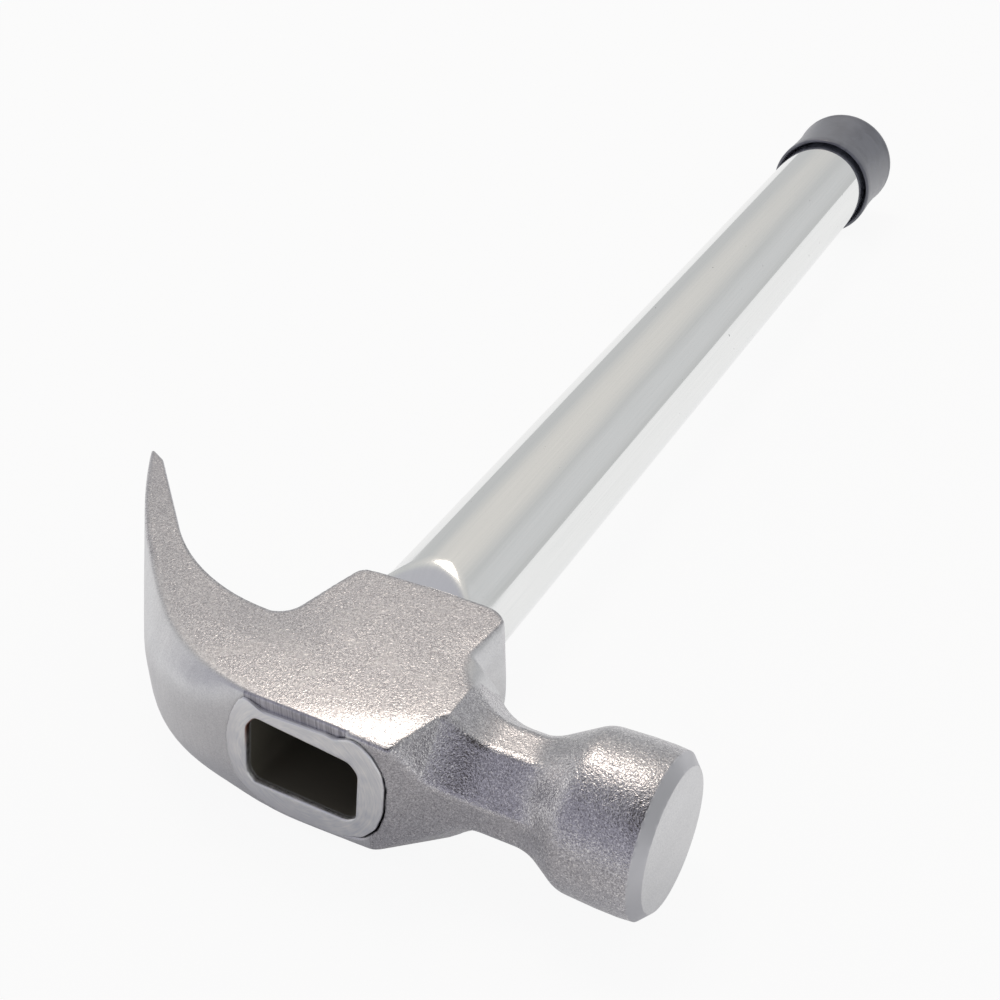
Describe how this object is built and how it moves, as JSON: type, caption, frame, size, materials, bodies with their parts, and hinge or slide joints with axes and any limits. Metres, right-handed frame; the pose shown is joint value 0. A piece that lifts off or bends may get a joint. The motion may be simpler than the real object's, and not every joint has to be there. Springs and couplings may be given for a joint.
{
  "type": "curved claw hammer",
  "caption": "Hand hammer with a forged head, round crowned striking face, curved split claw for pulling nails, hollow steel tube handle and a plain end cap",
  "frame": {"origin": "on the lower cheek's plane, right below the point where the handle's axis crosses the poll's axis", "axes": "+X to the striking face, +Y down the handle to its grip end, +Z out of the upper cheek"},
  "size_m": [0.1348, 0.2898, 0.0293],
  "materials": {
    "head": "forged steel, blasted to a fine bright grain, ground smooth on the face, the claw's back and around the eye",
    "handle": "bright chrome plate on drawn steel tube, ground satin on the rim in the eye",
    "cap": "dark blue-grey moulded rubber with a satin sheen"
  },
  "bodies": {
    "root": {"head": "head", "handle_tube": "handle", "end_cap": "cap"}
  },
  "joints": []
}
